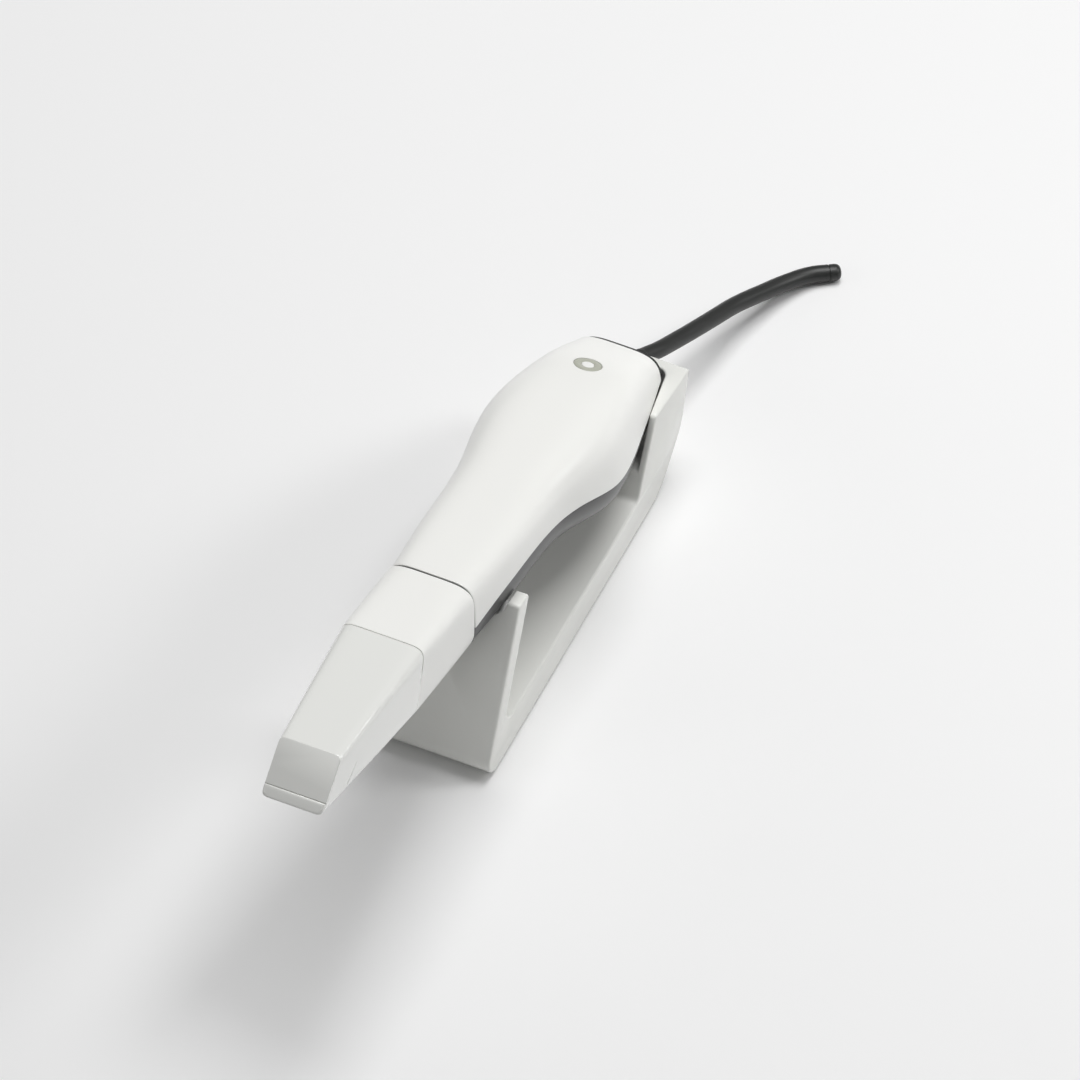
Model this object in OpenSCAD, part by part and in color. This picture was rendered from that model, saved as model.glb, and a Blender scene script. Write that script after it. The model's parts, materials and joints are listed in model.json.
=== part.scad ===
// Intraoral scanner handpiece with a detachable tip, resting in its one-piece desk cradle.
// +Y runs from the tip towards the cable, +X to the handpiece's right and +Z up.
// The origin is on the desk, under the middle of the object without its cable.

/* [Cradle] */
// Width of the cradle
cradle_w = 36; // [34:0.5:40]
// Height of the cradle's floor over the desk
floor_z = 12.6; // [11:0.2:14]
// Backward lean of the front upright, in degrees
front_lean = 23.7; // [20:0.5:26]
// Height of the front upright's two horns
front_h = 52.3; // [50:0.5:54]
// Height of the rear upright
rear_h = 35.8; // [34:0.2:37]
// Half of the gap between the two horns
saddle_half = 14.8; // [14.7:0.1:15]
// Width of the cable's slot in the rear upright
slot_w = 12; // [10:0.5:13]
// Thickness of the anti-slip pad that stands under the base
pad_t = 0.8; // [0.6:0.1:1]

/* [Handpiece] */
// Downward tilt of the handpiece towards its cable end, in degrees
tilt = 12.6; // [12.4:0.1:12.8]
// Wall of the top shell and the lower shell
wall = 1.8; // [1.4:0.1:2]
// How far the lower shell's outside sits in from the top shell's edge
shell_step = 0.5; // [0.3:0.1:0.8]
// Length of the two shells
shell_len = 127; // [126:0.5:128]
// Diameter of the cable
cable_d = 4.7; // [4.4:0.1:5]

/* [Tip] */
// Length of the tip along its top
tip_len = 78.4; // [76:0.2:80]
// Half of the tip's width at its front
tip_front_half = 9; // [8.6:0.1:9.6]
// Length of the rear collar of the tip
collar_len = 31.7; // [28:0.1:34]
// Wall of the tip's front part
tip_wall = 1.7; // [1.4:0.1:1.9]

/* [Button] */
// Diameter of the scan button
button_d = 7.8; // [7:0.1:9]
// Diameter of the button's white centre
dot_d = 3.6; // [3:0.1:4.4]
// Distance from the tip joint to the button
button_u = 104; // [102:0.5:106]

/* [Hidden] */
$fn = 48;

// The handpiece has its own axes: x across, u back along its length and v up from its top line.
// Its u = v = 0 is the top of the joint between tip and body.
joint_y = -19.1;
joint_z = 76.4;
shell_gap = 0.3;
joint_gap = 0.3;
cable_v = -20.9;

// Outlines of the body along u: half width at the seam, top line, side seam and bottom line.
// Each has a point at the joint, along the neck, at the belly and at the rear.
body_half = [[0, 13], [20, 14.5], [50, 16], [80, 20.5], [110, 16.5], [131, 12.5]];
body_top = [[0, 0], [40, 0.5], [90, 3], [105, 0.5], [131, -10]];
body_seam = [[0, -16], [20, -12.5], [60, -12.5], [85, -18], [131, -15]];
body_bottom = [[0, -24], [30, -25], [50, -27], [70, -31.5], [90, -35], [105, -34], [131, -27]];
// How far the sides lean in from the seam to the top.
body_lean = [[0, 0.5], [40, 1.5], [131, 2]];
// Squareness of the section above and below the seam: boxy at the neck, round under the belly.
body_square = [[0, 5.5], [30, 4.5], [131, 4]];
low_square = [[0, 5], [25, 4], [55, 2.4], [85, 2.4], [131, 3]];

// ---- Curves, corners and sections ----

function rise(p, i) = (p[i + 1][1] - p[i][1]) / (p[i + 1][0] - p[i][0]);
function span(p, x, i = 0) = (i >= len(p) - 2 || x < p[i + 1][0]) ? i : span(p, x, i + 1);
function slope(p, i) =
    i == 0 ? rise(p, 0) :
    i == len(p) - 1 ? rise(p, i - 1) :
    let (a = p[i][0] - p[i - 1][0], b = p[i + 1][0] - p[i][0])
    (rise(p, i - 1) * b + rise(p, i) * a) / (a + b);
// Smooth curve through the points p, read at x.
function curve(p, x) =
    let (i = span(p, x), h = p[i + 1][0] - p[i][0], t = (x - p[i][0]) / h)
    p[i][1] * (1 + 2 * t) * (1 - t) * (1 - t) + p[i + 1][1] * t * t * (3 - 2 * t)
    + h * t * (1 - t) * (slope(p, i) * (1 - t) - slope(p, i + 1) * t);

function unit(v) = v / norm(v);
// Corner of an outline at b, between a and c, rounded to radius r.
function corner(a, b, c, r, steps = 6) =
    r == 0 ? [b] :
    let (p = unit(a - b), q = unit(c - b), half = acos(p * q) / 2,
         centre = b + unit(p + q) * r / sin(half),
         s = b + p * r / tan(half) - centre, e = b + q * r / tan(half) - centre,
         from = atan2(s.y, s.x), turn = atan2(e.y, e.x) - from,
         sweep = turn > 180 ? turn - 360 : turn < -180 ? turn + 360 : turn)
    [for (i = [0:steps]) centre + r * [cos(from + sweep * i / steps), sin(from + sweep * i / steps)]];
// Outline through points given as [x, y, radius].
function rounded(p) =
    [for (i = [0:len(p) - 1])
        let (a = p[(i + len(p) - 1) % len(p)], b = p[i], c = p[(i + 1) % len(p)])
        each corner([a.x, a.y], [b.x, b.y], [c.x, c.y], b.z)];

// Power curve that squares off a circle: 2 is round, larger is boxier.
function squared(c, n) = sign(c) * pow(abs(c), 2 / n);

// Point of the body's section at u = s: angle 0 to 180 is over the top, 180 to 360 is under.
function body_point(s, angle, inset, drop = 0) =
    let (upper = angle <= 180, n = upper ? curve(body_square, s) : curve(low_square, s),
         seam = curve(body_seam, s) - drop,
         reach = upper ? curve(body_top, s) - inset - seam : seam - curve(body_bottom, s) - inset,
         lift = squared(sin(angle), n),
         lean = upper ? curve(body_lean, s) * lift : 0,
         x = (curve(body_half, s) - lean - inset) * squared(cos(angle), n),
         v = seam + reach * lift)
    [x, s - v * tan(tilt) * (1 - s / shell_len), v];

// Point of the tip's section whose top line is at u = t, which leans back to the tip's bottom line.
function tip_part(t) = (t + tip_len) / tip_len;
tip_middle_half = 12.3;
tip_rear_half = 13;
tip_rise = 1.2;
tip_fall = 6.2;
// Share of the way from the collar's front edge to the tip's front, and to the joint.
function ahead(t) = (-collar_len - t) / (tip_len - collar_len);
function astern(t) = (t + collar_len) / collar_len;
function tip_half(t) = t < -collar_len
    ? tip_middle_half + (tip_front_half - tip_middle_half) * ahead(t)
    : tip_middle_half + (tip_rear_half - tip_middle_half) * astern(t);
function tip_top(t) = t < -collar_len ? tip_rise - tip_fall * ahead(t) : tip_rise - tip_rise * astern(t);
tip_low_front = [-88.7, -18.2];
tip_low_rear = [5.4, -24.2];
function tip_low(t) = tip_low_front + (tip_low_rear - tip_low_front) * tip_part(t);
function tip_square(t) = 13 - 8.4 * tip_part(t);
function tip_point(t, angle, inset) =
    let (low = tip_low(t), top = [t, tip_top(t)],
         middle = (low + top) / 2, reach = (top - low) / 2,
         trim = (norm(reach) - inset) / norm(reach),
         n = tip_square(t),
         p = middle + reach * trim * squared(sin(angle), n))
    [(tip_half(t) - inset) * squared(cos(angle), n), p.x, p.y];

// ---- Swept solids ----

// Faces that join rings of n points each.
function ring_faces(rings, n) =
    [for (i = [0:rings - 2], j = [0:n - 1])
        let (a = i * n + j, b = i * n + (j + 1) % n)
        each [[a, b + n, a + n], [a, b, b + n]]];

// Open shell: a band of the section, from angle a0 to a1, with its wall inside.
module shell_band(stations, a0, a1, steps, outer, inner, drop) {
    n = 2 * (steps + 1);
    last = (len(stations) - 1) * n;
    pts = [for (s = stations) each concat(
        [for (i = [0:steps]) body_point(s, a0 + (a1 - a0) * i / steps, outer, drop)],
        [for (i = [steps:-1:0]) body_point(s, a0 + (a1 - a0) * i / steps, inner, drop)])];
    cap = [for (i = [0:steps - 1]) let (j = n - 1 - i) each [[j - 1, i + 1, i], [j, j - 1, i]]];
    faces = concat(
        ring_faces(len(stations), n),
        cap,
        [for (f = cap) [f[2] + last, f[1] + last, f[0] + last]]);
    polyhedron(pts, faces, convexity = 6);
}

// Solid through closed rings of points.
module loft(rings) {
    n = len(rings[0]);
    last = (len(rings) - 1) * n;
    polyhedron(
        [for (r = rings) each r],
        concat(ring_faces(len(rings), n), [[for (j = [n - 1:-1:0]) j]], [[for (j = [0:n - 1]) last + j]]),
        convexity = 4);
}

// Places children that are drawn in the handpiece's own axes.
module on_handpiece() {
    translate([0, joint_y, joint_z]) rotate([-tilt, 0, 0]) children();
}

// Block from the corner a to the corner b.
module block(a, b) {
    translate(a) cube(b - a);
}

// Rod along u from u0 to u1, at x and v.
module rod(x, v, u0, u1, r) {
    translate([x, u0, v]) rotate([-90, 0, 0]) cylinder(r = r, h = u1 - u0);
}

// Rectangle with rounded corners, centred on the origin.
module rounded_box(half_w, half_h, r) {
    polygon(rounded([
        [-half_w, -half_h, r], [half_w, -half_h, r],
        [half_w, half_h, r], [-half_w, half_h, r]]));
}

// Bar along u with a rounded rectangular section, centred on x = 0.
module bar(u0, u1, half_w, half_h, v, r) {
    translate([0, u1, v]) rotate([90, 0, 0]) linear_extrude(u1 - u0) rounded_box(half_w, half_h, r);
}

// Side outline given as [y, z] points, spread over a width across x.
module across(w, pts) {
    translate([-w / 2, 0, 0]) rotate([90, 0, 90]) linear_extrude(w) polygon(pts);
}

// ---- Cradle ----

cradle_y = -20.5;
front_foot = cradle_y - 3.8;
front_t = 7.2;
rear_y = cradle_y + 96.5;
rear_lean = 26.6;
rear_end = cradle_y + 130.3;
pocket_floor = 20;
pocket_front_half = 16;
pocket_rear_half = 12.9;
pocket_end = cradle_y + 126.4;
ballast_y = [cradle_y + 16, cradle_y + 92];
ballast_half = 11.8;
ballast_top = 9;
play = 0.2;
cover_half = 15;
cover_y = [cradle_y + 8, cradle_y + 100];
cover_t = 1.6;
base_screw_y = [cradle_y + 12, cradle_y + 96];
base_screw_x = 10;
base_screw_top = 9;
screw_r = 1.4;
screw_head_r = 2.7;
screw_head_t = 0.9;

function front_at(z) = front_foot + z * tan(front_lean);
function rear_at(z) = rear_y + (z - floor_z) * tan(rear_lean);

module cradle_profile() {
    across(cradle_w, rounded([
        [front_at(pad_t), pad_t, 5.5],
        [cradle_y + 110.6, pad_t, 15],
        [cradle_y + 124.9, 14.3, 15],
        [rear_end, 32.7, 1],
        [rear_at(rear_h), rear_h, 1],
        [rear_at(floor_z), floor_z, 2.5],
        [front_at(floor_z) + front_t, floor_z, 4],
        [front_at(front_h - 0.9) + front_t, front_h - 0.9, 1],
        [front_at(front_h), front_h, 1]]));
}

// Room for the neck between the two horns: the lower shell's own shape with a little clearance.
module saddle_cut() {
    saddle_seam = -14;
    saddle_low = -25.15;
    clear_top = 12;
    steps = 24;
    on_handpiece() translate([0, 50, 0]) rotate([90, 0, 0]) linear_extrude(60) polygon(concat(
        [[-saddle_half, clear_top]],
        [for (i = [0:steps]) let (a = 180 + 180 * i / steps)
            [saddle_half * squared(cos(a), 4.2),
             saddle_seam + (saddle_seam - saddle_low) * squared(sin(a), 4.2)]],
        [[saddle_half, clear_top]]));
}

// Pocket that holds the cable end, open to the front and the top.
module rear_pocket() {
    y0 = rear_y - 1;
    translate([0, 0, pocket_floor]) linear_extrude(40) polygon(rounded([
        [-pocket_front_half, y0, 0],
        [pocket_front_half, y0, 0],
        [pocket_front_half, rear_y + 12, 0],
        [pocket_rear_half, pocket_end, 3],
        [-pocket_rear_half, pocket_end, 3],
        [-pocket_front_half, rear_y + 12, 0]]));
}

module cable_slot() {
    slot_z = 22.5;
    translate([0, pocket_end - 3, 0]) rotate([-90, 0, 0]) {
        translate([0, -slot_z - slot_w / 2, 0]) cylinder(d = slot_w, h = 12);
        translate([-slot_w / 2, -60, 0]) cube([slot_w, 60 - slot_z - slot_w / 2, 12]);
    }
}

// Slanting cut that lowers the rear upright on the left of the cable's slot.
module left_cut() {
    outer_z = 24;
    inner_z = 32.5;
    top_z = 60;
    outer_x = -cradle_w / 2 - 1;
    inner_x = -slot_w / 2 + 0.1;
    translate([0, rear_y + 45, 0]) rotate([90, 0, 0]) linear_extrude(50)
        polygon([[outer_x, outer_z], [inner_x, inner_z], [inner_x, top_z], [outer_x, top_z]]);
}

module each_base_screw() {
    for (x = [-base_screw_x, base_screw_x], y = base_screw_y) translate([x, y, 0]) children();
}

module cradle_body() {
    color([0.85, 0.85, 0.82]) difference() {
        cradle_profile();
        saddle_cut();
        rear_pocket();
        cable_slot();
        left_cut();
        block([-cover_half, cover_y[0], -1], [cover_half, cover_y[1], pad_t + cover_t]);
        block(
            [-ballast_half - play, ballast_y[0], 0],
            [ballast_half + play, ballast_y[1], ballast_top + play]);
        each_base_screw() cylinder(r = screw_r, h = base_screw_top);
    }
}

module ballast_block() {
    color([0.45, 0.46, 0.48])
        block(
            [-ballast_half, ballast_y[0] + play, pad_t + cover_t],
            [ballast_half, ballast_y[1] - play, ballast_top]);
}

module base_cover() {
    edge = 0.15;
    color([0.8, 0.8, 0.77]) difference() {
        block(
            [-cover_half + edge, cover_y[0] + edge, pad_t],
            [cover_half - edge, cover_y[1] - edge, pad_t + cover_t]);
        each_base_screw() cylinder(r = screw_r + 0.1, h = base_screw_top);
        each_base_screw() translate([0, 0, pad_t - 1])
            cylinder(r = screw_head_r + play, h = screw_head_t + 1);
    }
}

module base_screws() {
    color([0.6, 0.6, 0.62]) each_base_screw() {
        translate([0, 0, pad_t]) cylinder(r = screw_head_r, h = screw_head_t);
        translate([0, 0, pad_t + screw_head_t]) cylinder(r = screw_r, h = 7);
    }
}

module base_pad() {
    half_w = 14;
    half_l = 45;
    color([0.3, 0.3, 0.3]) translate([0, cradle_y + 54, 0])
        linear_extrude(pad_t) rounded_box(half_w, half_l, 3);
}

// ---- Shells of the handpiece ----

shell_front = 0.3;
shell_stations = [for (i = [0:29]) shell_front + (shell_len - shell_front) * i / 29];

button_tilt = -14;
module at_button() {
    translate([0, button_u, curve(body_top, button_u)]) rotate([button_tilt, 0, 0]) children();
}

module top_shell() {
    color([0.96, 0.96, 0.95]) on_handpiece() difference() {
        shell_band(shell_stations, 0, 180, 18, 0, wall, 0);
        at_button() translate([0, 0, -6]) cylinder(d = button_d + 0.2, h = 10);
    }
}

module lower_shell() {
    color([0.13, 0.13, 0.14]) on_handpiece()
        shell_band(shell_stations, 180, 360, 16, shell_step, shell_step + wall, shell_gap);
}

cap_screw_x = 7.5;
cap_screw_v = -16.5;
cap_screw_r = 1;
cap_head_r = 1.9;
cap_screw_seat = shell_len + 1.8;
module rear_cap() {
    // Each ring is [u, inset]: a shallow dome behind the shells.
    steps = 32;
    rings = [[shell_len + 0.1, 0.3], [shell_len + 1.9, 0.4], [shell_len + 2.7, 1], [shell_len + 3.1, 2]];
    color([0.15, 0.15, 0.16]) on_handpiece() difference() {
        loft([for (r = rings) [for (i = [0:steps - 1]) body_point(r[0], 360 * i / steps, r[1])]]);
        rod(0, cable_v, shell_len - 1, shell_len + 5, cable_d / 2 + 0.05);
        for (x = [-cap_screw_x, cap_screw_x]) {
            rod(x, cap_screw_v, shell_len - 1, shell_len + 5, cap_screw_r + 0.1);
            rod(x, cap_screw_v, cap_screw_seat, shell_len + 5, cap_head_r + 0.1);
        }
    }
}

module cap_screws() {
    color([0.55, 0.55, 0.57]) on_handpiece() for (x = [-cap_screw_x, cap_screw_x]) {
        rod(x, cap_screw_v, cap_screw_seat, cap_screw_seat + 1, cap_head_r);
        rod(x, cap_screw_v, shell_len - 9, cap_screw_seat, cap_screw_r);
    }
}

// ---- Nose that carries the tip ----

nose_v = -11.2;
nose_half_w = 10.1;
nose_half_h = 9.2;
nose_r = 4.2;
nose_front = -34;
nose_slide = 0.2;
flange_half_w = 10.4;
flange_half_h = 9.3;
nose_wall = 1.6;
seal_u = -3;
seal_depth = 0.8;
clip_u = [-24, -12];
clip_x = 9.8;
pin_x = 4;
pin_v = nose_v + 7.4;

module front_nose() {
    color([0.2, 0.2, 0.21]) on_handpiece() difference() {
        union() {
            bar(nose_front, 9, nose_half_w, nose_half_h, nose_v, nose_r);
            bar(7, 9.5, flange_half_w, flange_half_h, -11.6, 5);
        }
        bar(nose_front + 2, 12, nose_half_w - nose_wall, nose_half_h - nose_wall, nose_v, 2);
        bar(nose_front - 1, nose_front + 3, 7, 5.5, nose_v, 1);
        bar(nose_front - 1, nose_front + 1, 7.8, 6.3, nose_v, 1.5);
        difference() {
            bar(seal_u - 0.8, seal_u + 0.8, 12, 12, nose_v, 1);
            seal_seat();
        }
        for (x = [-clip_x, clip_x])
            block([x - 0.4, clip_u[0], nose_v - 2.5], [x + 0.4, clip_u[1], nose_v + 2.5]);
        for (x = [-pin_x, pin_x]) rod(x, pin_v, nose_front - 1, nose_front + 4, 0.65);
    }
}

// The part of the nose that stays inside the seal's groove.
module seal_seat() {
    d = seal_depth;
    bar(seal_u - 1, seal_u + 1, nose_half_w - d, nose_half_h - d, nose_v, nose_r - d);
}

// Black ring that closes the shells' front, and that the tip stops against.
module joint_ring() {
    half_t = 0.2;
    inset = 0.35;
    steps = 48;
    color([0.12, 0.12, 0.13]) on_handpiece() difference() {
        loft([for (s = [-half_t, half_t])
            [for (i = [0:steps - 1]) body_point(s, 360 * (i + 0.5) / steps, inset)]]);
        bar(-4, 12, nose_half_w + 0.1, nose_half_h + 0.1, nose_v, nose_r);
    }
}

module nose_window() {
    color([0.6, 0.7, 0.75, 0.5]) on_handpiece()
        bar(nose_front, nose_front + 1, 7.7, 6.2, nose_v, 1.4);
}

module nose_seal() {
    color([0.1, 0.1, 0.1]) on_handpiece() difference() {
        bar(seal_u - 0.7, seal_u + 0.7, nose_half_w + 0.1, nose_half_h + 0.1, nose_v, nose_r);
        seal_seat();
    }
}

// Leaf springs that grip the tip from inside.
module nose_clips() {
    color([0.75, 0.75, 0.77]) on_handpiece() for (x = [-clip_x, clip_x])
        block([x - 0.25, clip_u[0] + 0.2, nose_v - 2.2], [x + 0.25, clip_u[1] - 0.2, nose_v + 2.2]);
}

module contact_pins() {
    color([0.85, 0.7, 0.35]) on_handpiece() for (x = [-pin_x, pin_x])
        rod(x, pin_v, nose_front - 1.4, nose_front + 3.8, 0.6);
}

// ---- Optics ----

barrel_x = 4.6;
barrel_v = -11.5;
barrel_r = 4.2;
barrel_u = [10.5, 33.8];
frame_half = 9.5;
// Top of the frame's bed, that the optical pieces stand over.
bed_v = -18.8;
foot_v = -18.6;

module optics_frame() {
    color([0.7, 0.71, 0.73]) on_handpiece() difference() {
        union() {
            block([-frame_half, 12, bed_v - 1.6], [frame_half, 56, bed_v]);
            for (x = [-8.9, 8.9]) block([x - 0.6, 12, bed_v], [x + 0.6, 34, -6]);
            for (u = [[12, 14.5], [30, 32]]) block([-frame_half, u[0], bed_v], [frame_half, u[1], -4.6]);
        }
        for (x = [-barrel_x, barrel_x]) rod(x, barrel_v, 11, 35, barrel_r + 0.05);
    }
}

module barrel(x) {
    on_handpiece() difference() {
        rod(x, barrel_v, barrel_u[0], barrel_u[1], barrel_r);
        rod(x, barrel_v, barrel_u[0] - 1, barrel_u[1] + 1, 3);
        rod(x, barrel_v, barrel_u[0] - 1, barrel_u[0] + 3, 3.4);
    }
}

module barrel_lens(x) {
    on_handpiece() rod(x, barrel_v, barrel_u[0] + 0.6, barrel_u[0] + 2.8, 3.35);
}

module projector_barrel() {
    color([0.12, 0.12, 0.13]) barrel(-barrel_x);
}

module projector_lens() {
    color([0.5, 0.6, 0.75, 0.5]) barrel_lens(-barrel_x);
}

module camera_barrel() {
    color([0.12, 0.12, 0.13]) barrel(barrel_x);
}

module camera_lens() {
    color([0.5, 0.6, 0.75, 0.5]) barrel_lens(barrel_x);
}

module projector_module() {
    color([0.3, 0.3, 0.32]) on_handpiece() block([-9.2, 34, foot_v], [-0.5, 48, -5]);
}

module led_heat_sink() {
    fins = 5;
    pitch = 2.1;
    color([0.75, 0.76, 0.78]) on_handpiece() {
        block([-10, 48.2, foot_v], [-0.5, 50, -5.4]);
        for (i = [0:fins - 1]) block([-10 + i * pitch, 50, foot_v], [-8.9 + i * pitch, 56.5, -5.4]);
    }
}

module camera_board() {
    color([0.1, 0.35, 0.2]) on_handpiece() block([0.4, 36, foot_v], [9.4, 37.2, -5]);
}

module image_sensor() {
    half = 3.2;
    color([0.15, 0.15, 0.17]) on_handpiece()
        block([barrel_x - half, 34.4, barrel_v - half], [barrel_x + half, 36, barrel_v + half]);
}

// ---- Boards and cable fixing ----

plate_v = [-22, -20.6];
board_v = [-16.6, -15];
fix_u = [64, 92];
fix_x = 8.5;
// Height of the main chip, that the heat spreader stands on.
chip_h = 1.6;

module each_fixing() {
    for (x = [-fix_x, fix_x], u = fix_u) translate([x, u, 0]) children();
}

module chassis_plate() {
    color([0.72, 0.73, 0.75]) on_handpiece() difference() {
        union() {
            block([-11, 60, plate_v[0]], [11, 96, plate_v[1]]);
            block([-8, 50, plate_v[0]], [8, 60, plate_v[1]]);
        }
        each_fixing() translate([0, 0, plate_v[0] - 1]) cylinder(r = 0.9, h = 4);
    }
}

module board_spacers() {
    color([0.8, 0.7, 0.4]) on_handpiece() each_fixing() difference() {
        translate([0, 0, plate_v[1]]) cylinder(r = 2.2, h = board_v[0] - plate_v[1]);
        translate([0, 0, plate_v[1] - 1]) cylinder(r = 0.95, h = 8);
    }
}

module board_screws() {
    color([0.6, 0.6, 0.62]) on_handpiece() each_fixing() {
        translate([0, 0, board_v[1]]) cylinder(r = 1.8, h = 1.1);
        translate([0, 0, plate_v[0]]) cylinder(r = 0.85, h = board_v[1] - plate_v[0]);
    }
}

module main_board() {
    color([0.08, 0.3, 0.18]) on_handpiece() difference() {
        block([-13, 60, board_v[0]], [13, 108, board_v[1]]);
        each_fixing() translate([0, 0, board_v[0] - 1]) cylinder(r = 0.95, h = 4);
    }
}

module board_chips() {
    color([0.1, 0.1, 0.11]) on_handpiece() translate([0, 0, board_v[1]]) {
        block([-7, 70, 0], [7, 84, chip_h]);
        block([-4, 87, 0], [4, 97, 1.2]);
        block([6, 97.5, 0], [12, 103, 1]);
        block([-12, 97.5, 0], [-5, 104, 1.4]);
    }
}

module heat_spreader() {
    fins = 6;
    pitch = 3;
    base = board_v[1] + chip_h;
    color([0.75, 0.76, 0.78]) on_handpiece() {
        block([-8, 69, base], [8, 85, base + 1.4]);
        for (i = [0:fins - 1]) block([-8 + i * pitch, 69, base + 1.4], [-7 + i * pitch, 85, base + 4.4]);
    }
}

module cable_header() {
    color([0.9, 0.9, 0.86]) on_handpiece() block([-5, 100, -23.5], [5, 108.8, board_v[0]]);
}

module inner_lead() {
    color([0.2, 0.2, 0.21]) on_handpiece() rod(0, cable_v, 108.8, shell_len + 3.1, cable_d / 2);
}

module cable_clamp() {
    color([0.25, 0.25, 0.26]) on_handpiece() difference() {
        block([-7, 113, -25.5], [7, 118, -17]);
        rod(0, cable_v, 112, 119, cable_d / 2 + 0.05);
    }
}

// ---- Button ----

button_h = 3.7;
switch_top = -4.3;
switch_h = 1.6;

module button_board() {
    color([0.08, 0.3, 0.18]) on_handpiece() at_button()
        block([-6, -5.5, switch_top - switch_h - 1], [6, 5.5, switch_top - switch_h]);
}

module button_switch() {
    color([0.2, 0.2, 0.2]) on_handpiece() at_button()
        block([-1.6, -1.6, switch_top - switch_h], [1.6, 1.6, switch_top]);
}

module ring_leds() {
    color([0.95, 0.95, 0.8]) on_handpiece() at_button() for (a = [0:90:270]) rotate([0, 0, a + 45])
        translate([2.9, -0.5, switch_top - switch_h]) cube([1.1, 1, 0.6]);
}

module button_cap() {
    flange_d = button_d + 1.2;
    color([0.77, 0.78, 0.72]) on_handpiece() at_button() difference() {
        union() {
            translate([0, 0, -button_h]) cylinder(d = button_d, h = button_h);
            translate([0, 0, -button_h]) cylinder(d = flange_d, h = 0.8);
        }
        translate([0, 0, -1.2]) cylinder(d = dot_d, h = 2);
    }
}

module button_dot() {
    color([0.97, 0.97, 0.96]) on_handpiece() at_button()
        translate([0, 0, -1.2]) cylinder(d = dot_d - 0.05, h = 1.2);
}

// ---- Tip ----

bore_half_w = nose_half_w + nose_slide;
bore_half_h = nose_half_h + nose_slide;
bore_r = nose_r + nose_slide;
tip_steps = 40;

module tip_bore(u0) {
    bar(u0, 12, bore_half_w, bore_half_h, nose_v, bore_r);
}

module tip_loft(stations, inset) {
    loft([for (t = stations)
        [for (i = [0:tip_steps - 1]) tip_point(t, 360 * (i + 0.5) / tip_steps, inset)]]);
}

module tip_collar() {
    color([0.95, 0.95, 0.94]) on_handpiece() difference() {
        tip_loft([-collar_len + 0.05, -16, -joint_gap], 0);
        tip_bore(-collar_len - 9);
    }
}

module tip_cover() {
    color([0.9, 0.9, 0.88]) on_handpiece() difference() {
        tip_loft([-tip_len, -62, -46, -collar_len - 0.05], 0);
        light_space();
        tip_bore(-37);
        tip_window();
    }
}

mirror_seat = -tip_len + 2.9;

// Tapered space between the mirror's seat and the nose: four straight walls.
module light_space() {
    inset = tip_wall + 0.2;
    loft([for (t = [mirror_seat, -36])
        let (x = tip_half(t) - inset, low = tip_low(t), top = [t, tip_top(t)],
             lean = unit(top - low) * inset, a = low + lean, b = top - lean)
        [[x, a.x, a.y], [x, b.x, b.y], [-x, b.x, b.y], [-x, a.x, a.y]]]);
}

// Opening under the mirror, which the light leaves and comes back through.
module tip_window() {
    half_w = 6.2;
    half_l = 7.5;
    r = 1.5;
    translate([0, -75, -26]) linear_extrude(13) rounded_box(half_w, half_l, r);
}

// Slab on the mirror's seat, between two distances behind it.
module on_mirror_seat(from, to) {
    width = 12.6;
    ends = [0.2, 0.75];
    function on_slope(t, part) = [t, tip_top(t)] + (tip_low(t) - [t, tip_top(t)]) * part;
    near = mirror_seat + from;
    far = mirror_seat + to;
    across(width, [
        on_slope(near, ends[0]), on_slope(near, ends[1]), on_slope(far, ends[1]), on_slope(far, ends[0])]);
}

heater_t = 0.3;
mirror_t = 1.4;

module tip_mirror() {
    color([0.85, 0.87, 0.9]) on_handpiece() on_mirror_seat(heater_t, heater_t + mirror_t);
}

module mirror_heater() {
    color([0.85, 0.5, 0.2]) on_handpiece() on_mirror_seat(0, heater_t);
}

// Contact block behind the nose's pins, under the tip's top wall.
module tip_contacts() {
    color([0.85, 0.7, 0.35]) on_handpiece() for (x = [-pin_x, pin_x])
        block([x - 1, nose_front - 4.4, pin_v - 1], [x + 1, nose_front - 1.7, pin_v + 2]);
}

// ---- Cable ----

// Route of the cable from the rear cap, where it leaves the body, to its end on the desk.
cable_route = [
    [0, 104.2, 27.5], [0, 107, 26.8], [0.4, 110, 25.8], [1.6, 114.5, 24], [3.6, 119.6, 22],
    [5.6, 127, 19.1], [8, 136, 15.9], [10, 144, 13.1], [12, 151.8, 10.4], [14, 157.2, 8.6],
    [16, 162.2, 6.8], [18, 167, 5.2], [20.2, 171.2, 4], [22.4, 174.6, 3.2], [24.8, 177.2, 2.7],
    [27.4, 179, 2.5]];
relief_last = 3;
relief_r = 3.5;
end_len = 4;

route_last = len(cable_route) - 1;

// Ring of n points around the route's point i.
function route_dir(i) = unit(cable_route[min(i + 1, route_last)] - cable_route[max(i - 1, 0)]);
function route_ring(i, r, n) =
    let (d = route_dir(i), side = unit(cross(d, [0, 0, 1])), up = cross(side, d))
    [for (j = [0:n - 1]) cable_route[i] + r * (side * cos(360 * j / n) + up * sin(360 * j / n))];

module strain_relief() {
    taper = (relief_r - cable_d / 2) / relief_last;
    color([0.16, 0.16, 0.17]) loft([for (i = [0:relief_last]) route_ring(i, relief_r - taper * i, 10)]);
}

module cable() {
    color([0.25, 0.25, 0.25]) loft([for (i = [relief_last:route_last]) route_ring(i, cable_d / 2, 10)]);
}

module cable_end() {
    d = route_dir(route_last);
    color([0.12, 0.12, 0.12]) translate(cable_route[route_last])
        rotate([0, 90 - asin(d.z), atan2(d.y, d.x)]) cylinder(d = cable_d, h = end_len);
}

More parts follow.
